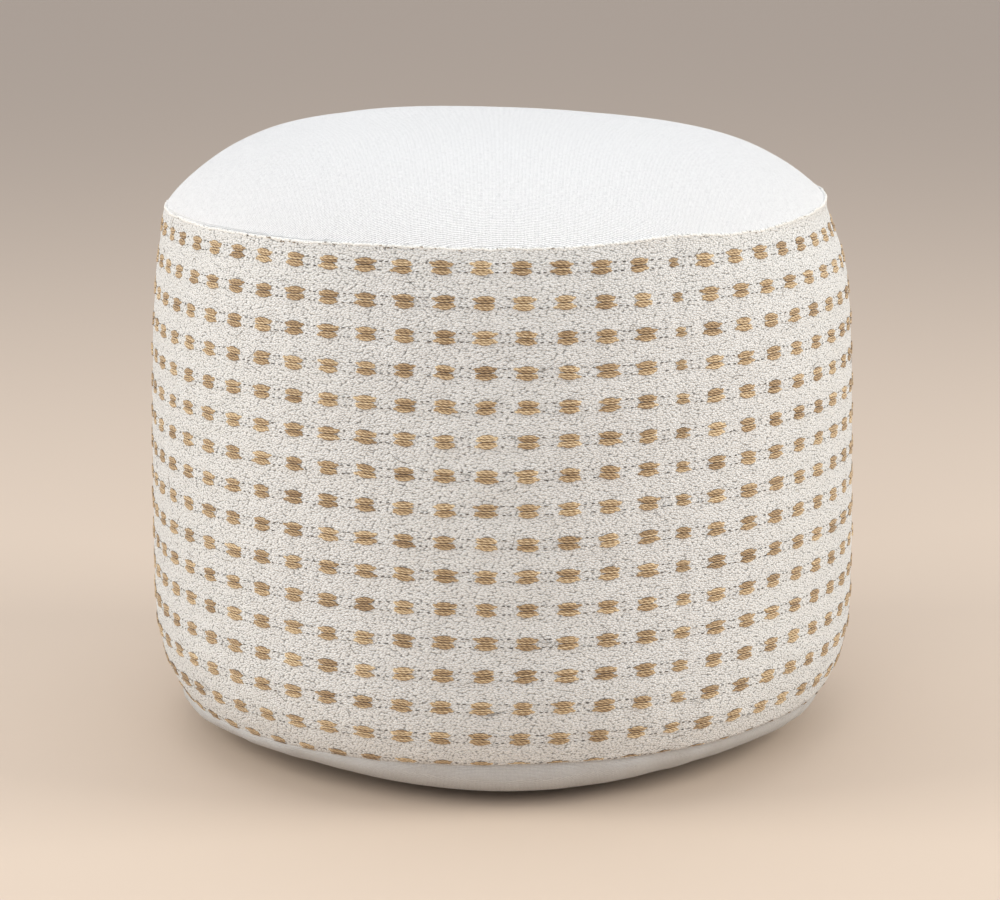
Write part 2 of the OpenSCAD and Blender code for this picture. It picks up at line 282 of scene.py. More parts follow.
def make_plain_weave():
    """Threads passing over and under each other, at a place given in metres."""
    tree, given, result = start_group(
        "plain_weave",
        [("Place", "Vector"), ("Object", "Vector"), ("Warp Spacing", "Float"),
         ("Weft Spacing", "Float"), ("Warp Share", "Float"), ("Unevenness", "Float")],
        [("Height", "Float")],
    )
    spot = put(tree, "ShaderNodeSeparateXYZ", Vector=given["Place"]).outputs
    drift = put(tree, "ShaderNodeTexNoise", Vector=given["Object"], Scale=420.0, Detail=2.0)
    drifts = put(tree, "ShaderNodeSeparateColor", Color=drift.outputs["Color"]).outputs
    shift_x = calc(tree, "MULTIPLY", calc(tree, "SUBTRACT", drifts[0], 0.5), given["Unevenness"])
    shift_y = calc(tree, "MULTIPLY", calc(tree, "SUBTRACT", drifts[1], 0.5), given["Unevenness"])
    u = calc(tree, "ADD", calc(tree, "DIVIDE", spot[0], given["Warp Spacing"]), shift_x)
    v = calc(tree, "ADD", calc(tree, "DIVIDE", spot[1], given["Weft Spacing"]), shift_y)
    heights = []
    for along, across, turned in ((u, v, 0.5), (v, u, 1.5)):
        number = calc(tree, "FLOOR", across)
        share = calc(tree, "FRACT", across)
        round_face = calc(tree, "SQRT", calc(tree, "SINE", calc(tree, "MULTIPLY", share, math.pi)))
        step = calc(tree, "ADD", calc(tree, "SUBTRACT", along, turned), number)
        phase = calc(tree, "MULTIPLY", step, math.pi)
        over = calc(tree, "MULTIPLY_ADD", calc(tree, "COSINE", phase), 0.45, 0.55)
        heights.append(calc(tree, "MULTIPLY", round_face, over))
    warp = calc(tree, "MULTIPLY", heights[1], given["Warp Share"])
    top = calc(tree, "SMOOTH_MAX", heights[0], warp, 0.1)
    pick_x = calc(tree, "MULTIPLY", u, 0.22)
    pick = put(tree, "ShaderNodeCombineXYZ", X=pick_x, Y=calc(tree, "FLOOR", v)).outputs[0]
    slub = put(tree, "ShaderNodeTexNoise", Vector=pick, Scale=1.0, Detail=2.0).outputs["Fac"]
    thick = calc(tree, "MULTIPLY", top, calc(tree, "MULTIPLY_ADD", slub, 0.9, 0.55))
    tree.links.new(thick, result["Height"])
    return tree


def make_round_place():
    """Distance round the girth and height, from Object coordinates, for cloth on a barrel."""
    tree, given, result = start_group(
        "round_place", [("Object", "Vector"), ("Radius", "Float")], [("Place", "Vector")]
    )
    spot = put(tree, "ShaderNodeSeparateXYZ", Vector=given["Object"]).outputs
    girth = calc(tree, "MULTIPLY", calc(tree, "ARCTAN2", spot[1], spot[0]), given["Radius"])
    place = put(tree, "ShaderNodeCombineXYZ", X=girth, Y=spot[2]).outputs[0]
    tree.links.new(place, result["Place"])
    return tree


plain_weave = make_plain_weave()
round_place = make_round_place()


def new_material(name, roughness, **values):
    """A material with its uniform values set, its node tree and its shader."""
    material = bpy.data.materials.new(name)
    material.use_nodes = True
    shader = material.node_tree.nodes["Principled BSDF"]
    shader.inputs["Roughness"].default_value = roughness
    for label, value in values.items():
        shader.inputs[label.replace("_", " ")].default_value = value
    return material, material.node_tree, shader


def ramp(tree, factor, *stops):
    """A colour ramp from (position, colour) stops."""
    node = put(tree, "ShaderNodeValToRGB", Fac=factor)
    elements = node.color_ramp.elements
    for index, (position, colour) in enumerate(stops):
        element = elements[index] if index < 2 else elements.new(position)
        element.position = position
        element.color = (*colour, 1)
    return node.outputs["Color"]


def raise_face(tree, shader, height, strength, distance):
    """Bumps a shader by a height."""
    bump = put(tree, "ShaderNodeBump", Strength=strength, Distance=distance, Height=height)
    tree.links.new(bump.outputs[0], shader.inputs["Normal"])


def object_place(tree):
    """Where a point lies on the object, in metres."""
    return put(tree, "ShaderNodeTexCoord").outputs["Object"]


def girth_place(tree, where, radius):
    """Distance round a girth of a radius, and height, of a point."""
    settings = [("node_tree", round_place)]
    return put(tree, "ShaderNodeGroup", settings, Object=where, Radius=radius).outputs[0]


def make_band_cotton():
    """Weft-faced handspun cotton: rows of soft slanting nubs, with shade painted grey into the pits between
    them and their tops painted lighter as highlight.
    """
    material, tree, shader = new_material("band_cotton", 0.85, Sheen_Weight=0.25, Sheen_Roughness=0.5)
    where = object_place(tree)
    place = girth_place(tree, where, belly_radius)
    slanted = put(
        tree, "ShaderNodeMapping", Vector=place, Rotation=(0, 0, 0.28), Scale=(560, 930, 1)
    ).outputs[0]
    nubs = put(
        tree, "ShaderNodeTexVoronoi", [("voronoi_dimensions", "2D")],
        Vector=slanted, Scale=1.0, Randomness=0.85,
    ).outputs
    dome = calc(tree, "SUBTRACT", 1.0, nubs["Distance"])
    shade = put(tree, "ShaderNodeSeparateColor", Color=nubs["Color"]).outputs[0]
    fluff_place = put(
        tree, "ShaderNodeMapping", Vector=place, Rotation=(0, 0, 0.5), Scale=(900, 2600, 1)
    ).outputs[0]
    fluff = put(tree, "ShaderNodeTexNoise", Vector=fluff_place, Scale=1.0, Detail=3.0).outputs["Fac"]
    height = calc(tree, "MULTIPLY_ADD", fluff, 0.6, dome)
    raise_face(tree, shader, height, 1.0, 0.0011)
    # The colour follows each nub's height: painted shade in the pits and painted highlight on the tops,
    # over the real random tone of each nub and its fluff.
    tone = calc(tree, "MULTIPLY_ADD", fluff, 0.7, calc(tree, "MULTIPLY_ADD", shade, 0.22, dome))
    colour = ramp(
        tree, calc(tree, "SUBTRACT", tone, 0.45), (0.14, (0.25, 0.247, 0.24)), (0.84, (0.97, 0.967, 0.955)),
        (0.34, (0.60, 0.597, 0.583)), (0.54, (0.81, 0.807, 0.787)),
    )
    tree.links.new(colour, shader.inputs["Base Color"])
    return material


def band_outline():
    """Up the face, over the folded top edge and down the back, as (radius, height)."""
    face = [band_low + (band_high - band_low) * k / band_rows for k in range(band_rows + 1)]
    outline = [(barrel(z), z) for z in face]
    roll = 0.0011
    fold = [
        (top_radius - roll + roll * math.cos(a), band_high + roll * math.sin(a))
        for a in (0.5, 1.0, 1.57, 2.2, 2.8)
    ]
    back = [band_high - (band_high - band_low) * k / 12 for k in range(13)]
    return outline + fold + [(barrel(z) - cloth, z) for z in back] + [(barrel(band_low), band_low)]


def top_wander(azimuth):
    """How far the folded top edge wanders up or down."""
    c, s = math.cos(azimuth), math.sin(azimuth)
    from_join = turned_from(azimuth, join_azimuth)
    bulk = 0.0036 * math.exp(-((from_join / 0.17) ** 2)) + shoulder_lift * drawn_in(azimuth)
    wave = 0.0010 * noise.noise(Vector((5 * c, 5 * s, 0)))
    wave += 0.0005 * noise.noise(Vector((17 * c, 17 * s, 3)))
    return wave + bulk


band_shape = turn(band_outline(), band_turns)
for v in band_shape.verts:
    azimuth = math.atan2(v.co.y, v.co.x)
    height = v.co.z
    near_seam = 1 - smooth_step(height, band_low, band_low + 0.03)
    lifted = height + (band_edge(azimuth) - band_low) * near_seam
    lifted += top_wander(azimuth) * smooth_step(height, band_high - 0.03, band_high)
    inset = barrel(min(max(height, band_low), band_high)) - math.hypot(v.co.x, v.co.y)
    radius = band_face(azimuth, lifted) - inset
    v.co.x = radius * math.cos(azimuth)
    v.co.y = radius * math.sin(azimuth)
    v.co.z = lifted
bake_map = band_shape.loops.layers.uv.new("OFBake")
for face in band_shape.faces:
    middle = face.calc_center_median()
    middle_turn = (math.atan2(middle.y, middle.x) - join_azimuth) % (2 * math.pi)
    outside = face.normal.x * middle.x + face.normal.y * middle.y > 0
    strip = int(middle_turn / math.pi)
    for loop in face.loops:
        corner = loop.vert.co
        around = middle_turn + turned_from(math.atan2(corner.y, corner.x), join_azimuth + middle_turn)
        up = (corner.z - band_low + 0.003) / (band_high - band_low + 0.006)
        if outside:
            along = around / math.pi - strip
            loop[bake_map].uv = (0.004 + 0.992 * along, 0.005 + 0.435 * strip + 0.425 * up)
        else:
            loop[bake_map].uv = (0.004 + 0.992 * around / (2 * math.pi), 0.885 + 0.1 * up)
band_cotton = make_band_cotton()
band = add_piece("woven_side_band", band_shape, band_cotton)
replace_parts(band, "side_band")

# ---- Folded edge ------------------------------------------------------------
# Along the folded top edge the weft turns over in a row of soft cotton nubs, which
# stand a little above the canvas and give the seam its uneven line.
cotton_yarn, tree, shader = new_material("cotton_yarn", 0.85, Sheen_Weight=0.25, Sheen_Roughness=0.5)
where = object_place(tree)
lint = put(tree, "ShaderNodeTexNoise", Vector=where, Scale=1300.0, Detail=3.0).outputs["Fac"]
colour = ramp(tree, lint, (0.3, (0.66, 0.645, 0.61)), (0.62, (0.93, 0.92, 0.885)))
tree.links.new(colour, shader.inputs["Base Color"])
raise_face(tree, shader, lint, 0.6, 0.0003)


def blank_floats(bm, count, around, rings):
    """Adds equal round blanks, unit spheres with poles along X, and counts each one's vertices."""
    pattern = bmesh.new()
    bmesh.ops.create_uvsphere(
        pattern, u_segments=around, v_segments=rings, radius=1, matrix=Matrix.Rotation(math.pi / 2, 4, "Y")
    )
    pattern_mesh = bpy.data.meshes.new("float_pattern")
    pattern.to_mesh(pattern_mesh)
    pattern.free()
    bm.from_mesh(pattern_mesh)
    bm.verts.ensure_lookup_table()
    verts = bm.verts[-len(pattern_mesh.vertices):]
    bpy.data.meshes.remove(pattern_mesh)
    edges = list({edge for v in verts for edge in v.link_edges})
    faces = list({face for v in verts for face in v.link_faces})
    blanks = [(verts, edges, faces)]
    while len(blanks) < count:
        source = blanks[: count - len(blanks)]
        items = [item for blank in source for part in blank for item in part]
        made = bmesh.ops.duplicate(bm, geom=items)
        parts = [[item for item in made["geom"] if isinstance(item, kind)]
                 for kind in (bmesh.types.BMVert, bmesh.types.BMEdge, bmesh.types.BMFace)]
        sizes = [len(part) // len(source) for part in parts]
        for k in range(len(source)):
            blanks.append(tuple(part[k * size:(k + 1) * size] for part, size in zip(parts, sizes)))
    return [len(blank[0]) for blank in blanks]


def each_blank(bm, sizes):
    """The vertices of each blank in turn, once every blank and every layer has been made."""
    verts = list(bm.verts)
    start = 0
    for size in sizes:
        yield verts[start:start + size]
        start += size


def lay_float(verts, azimuth, height, size, lift=0.0, bend=0.0, tilt=0.0):
    """Shapes a blank into a yarn float along the girth; size is half its length, width and depth."""
    c, s = math.cos(tilt), math.sin(tilt)
    for v in verts:
        end = abs(v.co.x)
        full = (1.0005 - end * end) ** -0.34
        along = v.co.x * size[0]
        up = v.co.y * size[1] * full + bend * v.co.x**2
        out = v.co.z * size[2] * full + lift * (1 - end**3)
        angle = azimuth + (along * c - up * s) / belly_radius
        level = height + up * c + along * s
        radius = band_face(angle, level) + out
        v.co = (radius * math.cos(angle), radius * math.sin(angle), level)


random.seed(11)
edge_shape = bmesh.new()
edge_nubs = 620
for k, nub in enumerate(each_blank(edge_shape, blank_floats(edge_shape, edge_nubs, 6, 4))):
    azimuth = 2 * math.pi * (k + random.uniform(-0.2, 0.2)) / edge_nubs
    height = band_high + top_wander(azimuth) + random.uniform(-0.0002, 0.0004)
    size = tuple(random.uniform(*span) for span in ((0.0012, 0.0018), (0.0006, 0.0010), (0.0006, 0.0009)))
    lay_float(nub, azimuth, height, size, lift=-0.0006, tilt=random.uniform(-0.5, 0.1))
add_piece("folded_edge_nubs", edge_shape, cotton_yarn)

# ---- Jute motifs ------------------------------------------------------------
# Rows of small hourglass patches brocaded into the band: six jute floats each, short at
# top and bottom and long between, whose yarn shows as dark flecks from patch to patch.
motifs_round = 58
jute_rows = 16
first_row_drop = 0.0125
row_pitch = (band_high - first_row_drop - band_low) / (jute_rows - 1)
motif_half_width = 0.00725
motif_pitch = 2 * math.pi / motifs_round
join_share = 0.5
rows_per_piece = 4
# each float's height above the patch's middle, share of its half width, bend of its ends
# and half thickness
floats = (
    (0.00350, 0.62, -0.0007, 0.00084),
    (0.00222, 1.00, 0.0002, 0.00098),
    (0.00070, 0.86, 0.0006, 0.00084),
    (-0.00070, 0.86, -0.0006, 0.00084),
    (-0.00222, 1.00, -0.0002, 0.00098),
    (-0.00350, 0.62, 0.0007, 0.00084),
)


def make_jute():
    """Two-ply jute: straw-coloured fibres, twisted, with shade painted dark into the grooves between the
    plies and along each float's edges.
    """
    material, tree, shader = new_material("jute", 0.7, Sheen_Weight=0.15)
    yarn = put(tree, "ShaderNodeUVMap", [("uv_map", "yarn")]).outputs[0]
    spot = put(tree, "ShaderNodeSeparateXYZ", Vector=yarn).outputs
    tone = put(tree, "ShaderNodeAttribute", [("attribute_name", "tone")]).outputs["Fac"]
    turns = calc(tree, "ADD", calc(tree, "MULTIPLY", spot[0], 0.30), calc(tree, "MULTIPLY", spot[1], 0.55))
    ply = calc(tree, "ABSOLUTE", calc(tree, "SINE", calc(tree, "MULTIPLY", turns, math.pi)))
    leaning = calc(tree, "SUBTRACT", spot[1], calc(tree, "MULTIPLY", spot[0], 0.5))
    streak_place = put(
        tree, "ShaderNodeCombineXYZ", X=calc(tree, "MULTIPLY", turns, 0.5),
        Y=calc(tree, "MULTIPLY", leaning, 2.4),
    ).outputs[0]
    streak = put(tree, "ShaderNodeTexNoise", Vector=streak_place, Scale=1.0, Detail=3.0).outputs["Fac"]
    height = calc(tree, "ADD", calc(tree, "MULTIPLY", ply, 0.8), calc(tree, "MULTIPLY", streak, 0.5))
    raise_face(tree, shader, height, 1.0, 0.0004)
    # Painted shade: the colour darkens in the ply grooves, over the real streaks of the fibres.
    light = calc(tree, "MULTIPLY_ADD", streak, 0.85, calc(tree, "MULTIPLY", calc(tree, "SQRT", ply), 0.28))
    # Painted shade: each float darkens towards its edges, where it meets the band and its neighbours; the
    # per-float tone below is real.
    side = calc(tree, "POWER", calc(tree, "ABSOLUTE", spot[1]), 2.2)
    light = calc(tree, "MULTIPLY", light, calc(tree, "MULTIPLY_ADD", side, -0.8, 1.0))
    light = calc(tree, "MULTIPLY", light, tone)
    colour = ramp(
        tree, light, (0.14, (0.040, 0.025, 0.014)), (0.84, (0.86, 0.69, 0.44)),
        (0.38, (0.19, 0.118, 0.060)), (0.60, (0.49, 0.33, 0.175)),
    )
    tree.links.new(colour, shader.inputs["Base Color"])
    return material


def row_height(row, azimuth):
    """Height of a jute row, which runs a little unevenly round the girth."""
    wave = noise.noise(Vector((2 * math.cos(azimuth), 2 * math.sin(azimuth), 5 + 0.35 * row)))
    stretch = 0.0021 - 0.0016 * (row / jute_rows) ** 2
    return band_high - first_row_drop - row * row_pitch + stretch + 0.0007 * wave


def motif_azimuth(row, k):
    """Where a patch stands: patches crowd towards the join and the front, and columns bow."""
    crowd = 0 if k % motifs_round == 0 else -0.0032 * (1 - (k - 1) / 28)
    evenly = join_azimuth + k * motif_pitch + crowd
    drawn = math.sin(evenly - front_azimuth) - math.sin(join_azimuth - front_azimuth)
    bow = 0.0055 - 0.0165 * ((row - 6.7) / 7) ** 4
    return evenly - 0.022 * drawn + max(bow, -0.012)


def plan_motif(row, k):
    """One patch's six floats, and the flecks that lead on to the next, as lay_float values."""
    azimuth = motif_azimuth(row, k) + random.gauss(0, 0.0009)
    middle = row_height(row, azimuth) + random.gauss(0, 0.00012)
    small = min(join_share + 0.035 * row, 0.78) if k == 0 else 1
    width = motif_half_width * small * random.uniform(0.94, 1.05)
    tilt = random.gauss(0, 0.035)
    patch_tone = random.uniform(0.92, 1.08)
    slack = small ** 0.6
    edge = band_edge(azimuth) if row == jute_rows - 1 else 0
    patch, flecks = [], []
    for up, share, bend, thick in floats:
        half = width * share * random.uniform(0.88, 1.1)
        place = middle + up * slack
        skew = (up * math.sin(tilt) + random.gauss(0, 0.0003)) / belly_radius
        shape = {"lift": 0.00022, "bend": bend, "tilt": tilt + random.gauss(0, 0.02)}
        size = (half, thick * slack, random.uniform(0.0007, 0.0009))
        tone = patch_tone * random.uniform(0.84, 1.16)
        if place > edge - 0.0003:
            patch.append((azimuth - skew, place, size, shape, tone))
    gap = (motif_azimuth(row, k + 1) - azimuth) * belly_radius - motif_half_width - width
    for line in (0.0025, -0.0025):
        for spot in (0.27, 0.72):
            step = width + gap * (spot + random.uniform(-0.1, 0.1))
            angle = azimuth + step / belly_radius
            place = row_height(row, angle) + line + random.gauss(0, 0.0001)
            size = (random.uniform(0.0008, 0.0014), 0.00026, 0.0003)
            shape = {"lift": 0.00025, "tilt": random.gauss(0, 0.12)}
            tone = random.uniform(0.22, 0.42)
            if random.random() > 0.14 and place > edge + 0.0005:
                flecks.append((angle, place, size, shape, tone))
    return patch, flecks


jute = make_jute()
random.seed(23)
for first in range(0, jute_rows, rows_per_piece):
    rows = range(first, first + rows_per_piece)
    patches, flecks = [], []
    for row in rows:
        for k in range(motifs_round):
            from_zip = abs(turned_from(join_azimuth + k * motif_pitch, zip_azimuth))
            in_zip = from_zip < zip_half_angle + 0.05
            if not (row == jute_rows - 1 and in_zip):
                motif_patch, motif_flecks = plan_motif(row, k)
                patches += motif_patch
                flecks += motif_flecks
    jute_shape = bmesh.new()
    blanks = blank_floats(jute_shape, len(patches), 6, 5) + blank_floats(jute_shape, len(flecks), 4, 4)
    twist_map = jute_shape.loops.layers.uv.new("yarn")
    tones = jute_shape.verts.layers.float.new("tone")
    laid = zip(each_blank(jute_shape, blanks), patches + flecks)
    for verts, (azimuth, height, size, shape, tone) in laid:
        start = random.uniform(0, 40)
        for v in verts:
            v[tones] = tone
            for loop in v.link_loops:
                loop[twist_map].uv = (start + v.co.x * size[0] * 1000, v.co.y)
        lay_float(verts, azimuth, height, size, **shape)
        edge = band_edge(azimuth) + 0.0004
        for v in verts:
            if v.co.z < edge:
                share = 1 - 0.0012 / math.hypot(v.co.x, v.co.y)
                v.co = (v.co.x * share, v.co.y * share, edge)
    piece_name = f"jute_rows_{first + 1:02d}_to_{first + rows_per_piece:02d}"
    jute_piece = add_piece(piece_name, jute_shape, jute)
    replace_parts(jute_piece, *[f"jute_row_{row + 1:02d}" for row in rows])

# ---- Top panel --------------------------------------------------------------
# A disc of plain white canvas. The fill crowns it, a little fuller on one side, and its
# edge is drawn down into the seam, with a narrow valley and small puckers beside it.
crown_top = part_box("top_panel")[1][2]
canvas_thickness = 0.0012
crown_power = 4.2
crown_turns = 360
crown_rings = 110


def make_canvas(name, gap, face):
    """Bleached plain-weave canvas, fine and tight, with its gap colour painted as shade into the low places
    between the threads and its face colour on their tops.
    """
    material, tree, shader = new_material(name, 0.8, Sheen_Weight=0.15, Sheen_Roughness=0.4)
    where = object_place(tree)
    normal = put(tree, "ShaderNodeNewGeometry").outputs["Normal"]
    facing = calc(tree, "ABSOLUTE", put(tree, "ShaderNodeSeparateXYZ", Vector=normal).outputs[2])
    upright = girth_place(tree, where, seam_radius)
    place = put(
        tree, "ShaderNodeMix", [("data_type", "VECTOR")], Factor=calc(tree, "GREATER_THAN", facing, 0.45)
    )
    tree.links.new(upright, place.inputs[4])
    tree.links.new(where, place.inputs[5])
    weave = put(
        tree, "ShaderNodeGroup", [("node_tree", plain_weave)], Place=place.outputs[1], Object=where,
        Warp_Spacing=0.00080, Weft_Spacing=0.00095, Warp_Share=0.9, Unevenness=0.9,
    ).outputs
    raise_face(tree, shader, weave["Height"], 1.0, 0.0005)
    # Painted shade: the colour darkens with the weave's height, down to the gap colour between the threads.
    colour = ramp(tree, weave["Height"], (0.26, gap), (0.68, face))
    tree.links.new(colour, shader.inputs["Base Color"])
    return material


def crown_height(r):
    """Height of the canvas top's face at a radius."""
    edge = band_high + canvas_thickness
    return edge + (crown_top - edge) * (1 - (r / top_radius) ** crown_power)


def top_outline():
    """From the pole out over the crown and down into the seam, then back underneath."""
    tucked = top_radius - 0.0012
    radii = [tucked * math.sin(math.pi / 2 * k / crown_rings) for k in range(crown_rings + 1)]
    face = [(r, crown_height(r)) for r in radii]
    tuck = [(tucked, band_high - 0.003), (tucked - canvas_thickness, band_high - 0.003)]
    under = [(tucked - canvas_thickness, crown_height(tucked) - 0.002)]
    for k in range(1, 13):
        r = (tucked - canvas_thickness) * (1 - k / 12)
        under.append((r, crown_height(r) - canvas_thickness))
    return face + tuck + under


def settle_crown(x, y, z):
    """Moves a point of an even crown as hand filling does: fuller at -X, drawn over at +X."""
    azimuth = math.atan2(y, x)
    c, s = math.cos(azimuth), math.sin(azimuth)
    inward = top_radius - math.hypot(x, y)
    at_edge = math.exp(-max(inward, 0) / 0.030)
    valley = 0.0015 * math.exp(-inward / 0.004)
    pucker_depth = 0.0006 * math.exp(-inward / 0.012) + 0.0006 * math.exp(-inward / 0.045)
    gather = noise.noise(Vector((26 * c, 26 * s, 1)))
    drape = 0.0018 * noise.noise(Vector((6 * x + 3, 11 * y, 2)))
    fold = 0.0009 * noise.noise(Vector((9 * x, 40 * y, 5)))
    rise = max(z - band_high, 0) / (crown_top - band_high)
    settled = smooth_step(inward, 0, 0.05)
    lift = pucker_depth * gather - valley + (drape + fold) * settled - 0.022 * x * math.sqrt(rise)
    share = 1 - shoulder_draw * drawn_in(azimuth) * at_edge / max(math.hypot(x, y), 0.01)
    return x * share, y * share, z + lift + top_wander(azimuth) * at_edge


top_shape = turn(top_outline(), crown_turns)
for v in top_shape.verts:
    v.co = settle_crown(*v.co)
# The first colour is painted shade for the gaps in the weave.
canvas = make_canvas("canvas", (0.36, 0.365, 0.38), (0.92, 0.925, 0.935))
top_canvas = add_piece("canvas_top", top_shape, canvas)
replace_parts(top_canvas, "top_panel")

# ---- Bottom panel -----------------------------------------------------------
# A canvas disc pulled up round the fill to meet the band, flat where it rests.
base_radius = 0.126
corner_steps = 40


def bottom_outline():
    """From the middle of the base out, up the rounded edge to the seam, and back inside."""
    across = [(base_radius * k / 10, 0) for k in range(10)]
    corner = []
    for k in range(corner_steps + 1):
        a = math.pi / 2 * k / corner_steps
        corner.append(
            (base_radius + (seam_radius - base_radius) * math.sin(a), band_low * (1 - math.cos(a)))
        )
    edge = [(seam_radius - 0.0004, band_low + 0.0012), (seam_radius - 0.003, band_low + 0.0012)]
    inside = [(r - 0.003, z + canvas_thickness) for r, z in reversed(corner[::6])]
    return across + corner + edge + inside + [(0, canvas_thickness)]


bottom_shape = turn(bottom_outline(), crown_turns)
for v in bottom_shape.verts:
    azimuth = math.atan2(v.co.y, v.co.x)
    c, s = math.cos(azimuth), math.sin(azimuth)
    r = math.hypot(v.co.x, v.co.y)
    rise = v.co.z / band_low
    opened = zip_open(azimuth)
    edge_shift = seam_drift(azimuth) * (1 - opened) - opened * zip_gap / 2
    v.co.z += edge_shift * smooth_step(rise, 0.2, 1)
    slack = 0.0014 * noise.noise(Vector((9 * c, 9 * s, 4)))
    slack += 0.0006 * noise.noise(Vector((23 * c, 23 * s, 60 * v.co.z)))
    lump = slack * smooth_step(rise, 0.15, 0.5) * (1 - smooth_step(rise, 0.8, 1))
    from_front = turned_from(azimuth, front_azimuth)
    lobes = 0.009 * math.cos(4 * from_front) * math.cos(from_front / 2)
    bulge = lobes + 0.0016 * math.sin(2 * from_front)
    lump += bulge * 3.5 * math.sqrt(max(rise, 0)) * max(1 - rise, 0) ** 2
    if r > base_radius:
        v.co.x *= (r + lump) / r
        v.co.y *= (r + lump) / r
# The same white canvas as the top, given darker colours as painted shade for the downward-facing base, with
# painted shade in the weave's gaps as well.
base_canvas_painted_shade = make_canvas("base_canvas_painted_shade", (0.40, 0.395, 0.385), (0.66, 0.655, 0.645))
bottom_canvas = add_piece("canvas_bottom", bottom_shape, base_canvas_painted_shade)
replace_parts(bottom_canvas, "bottom_panel")

# ---- Loose fibres -----------------------------------------------------------
# Handspun jute sheds: fine brown hairs lie on the band, most of them by the patches, and
# short dark ends are caught in the fold of the top edge and in the bottom seam.
random.seed(31)
hairs = []
for k in range(300):
    angle = random.uniform(0, 2 * math.pi)
    height = random.uniform(band_low + 0.004, band_high - 0.004)
    half_length = random.uniform(0.0015, 0.0055)
    shape = {"lift": 0.0004, "bend": random.gauss(0, 0.0010), "tilt": random.gauss(0, 0.6)}
    hairs.append((angle, height, (half_length, 0.00012, 0.00012), shape, random.uniform(0.30, 0.8)))
for k in range(45):
    angle = math.radians(random.gauss(246, 14) if k % 3 else random.uniform(0, 360))
    height = band_high + top_wander(angle) + random.uniform(-0.0012, 0.0008)
    size = (random.uniform(0.0005, 0.0013), 0.00026, 0.00026)
    shape = {"lift": 0.0006, "tilt": random.gauss(0, 0.3)}
    hairs.append((angle, height, size, shape, random.uniform(0.4, 0.9)))
hair_shape = bmesh.new()
hair_blanks = blank_floats(hair_shape, len(hairs), 3, 7)
twist_map = hair_shape.loops.layers.uv.new("yarn")
tones = hair_shape.verts.layers.float.new("tone")
for verts, (azimuth, height, size, shape, tone) in zip(each_blank(hair_shape, hair_blanks), hairs):
    for v in verts:
        v[tones] = tone
        for loop in v.link_loops:
            loop[twist_map].uv = (v.co.x * size[0] * 1000, v.co.y)
    lay_float(verts, azimuth, height, size, **shape)
add_piece("loose_jute_hairs", hair_shape, jute)

# ---- Zip --------------------------------------------------------------------
# A nylon coil zip let into the back of the bottom seam: two woven tapes, a coil of teeth
# on each, a metal clip at each end, and a metal slider with a flat pull on a crossbar.
tape_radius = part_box("zip_tape_upper")[1][1]
chain_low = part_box("zip_chain_lower")[0][2]
chain_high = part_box("zip_chain_upper")[1][2]
chain_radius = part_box("zip_chain_upper")[1][1]
chain_middle = (chain_low + chain_high) / 2
tooth_pitch = 0.0012
tooth_half_length = (chain_high - chain_low) * 0.36
teeth_margin = math.radians(0.6)


def make_zip_tape():
    """Tightly woven polyester tape, with raised ribs along it."""
    material, tree, shader = new_material("zip_tape", 0.7, Sheen_Weight=0.1)
    where = object_place(tree)
    place = girth_place(tree, where, chain_radius)
    weave = put(
        tree, "ShaderNodeGroup", [("node_tree", plain_weave)], Place=place, Object=where,
        Warp_Spacing=0.0005, Weft_Spacing=0.0004, Warp_Share=0.9, Unevenness=0.2,
    ).outputs
    raise_face(tree, shader, weave["Height"], 0.6, 0.0002)
    # Painted shade: the colour darkens with the weave's height, between the threads.
    colour = ramp(tree, weave["Height"], (0.2, (0.60, 0.59, 0.56)), (0.8, (0.82, 0.81, 0.77)))
    tree.links.new(colour, shader.inputs["Base Color"])
    return material


def make_coil_nylon():
    """Ecru nylon filament, smooth, a little dulled where the slider rubs."""
    material, tree, shader = new_material("coil_nylon", 0.4, Coat_Weight=0.1)
    where = object_place(tree)
    rub = put(tree, "ShaderNodeTexNoise", Vector=where, Scale=700.0, Detail=3.0).outputs["Fac"]
    tree.links.new(calc(tree, "MULTIPLY_ADD", rub, 0.35, 0.25), shader.inputs["Roughness"])
    colour = ramp(tree, rub, (0.3, (0.70, 0.68, 0.62)), (0.7, (0.84, 0.83, 0.78)))
    tree.links.new(colour, shader.inputs["Base Color"])
    return material


def make_zip_metal():
    """Nickel-plated zinc, tumbled smooth, with fine scratches and duller hollows."""
    material, tree, shader = new_material("zip_metal", 0.35, Metallic=1.0)
    where = object_place(tree)
    cloud = put(tree, "ShaderNodeTexNoise", Vector=where, Scale=500.0, Detail=4.0).outputs["Fac"]
    stretched = put(tree, "ShaderNodeMapping", Vector=where, Scale=(400, 400, 6000)).outputs[0]
    scratch = put(tree, "ShaderNodeTexNoise", Vector=stretched, Scale=1.0, Detail=2.0).outputs["Fac"]
    tree.links.new(calc(tree, "MULTIPLY_ADD", cloud, 0.35, 0.18), shader.inputs["Roughness"])
    colour = ramp(tree, cloud, (0.3, (0.34, 0.33, 0.31)), (0.6, (0.52, 0.50, 0.47)))
    tree.links.new(colour, shader.inputs["Base Color"])
    raise_face(tree, shader, scratch, 0.25, 0.00005)
    return material


def rounded_copy(node, name, width, material, body):
    """A merged copy of a CAD piece with its edges rounded over, which takes its place."""
    bm = copy_cad(node)
    bmesh.ops.dissolve_limit(bm, angle_limit=0.01, verts=bm.verts, edges=bm.edges)
    sharp = [edge for edge in bm.edges if edge.calc_face_angle(0) > 0.5]
    bmesh.ops.bevel(
        bm, geom=sharp, offset=width, affect="EDGES", segments=2, profile=0.5, material=-1,
        clamp_overlap=True,
    )
    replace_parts(add_piece(name, bm, material, body), node)


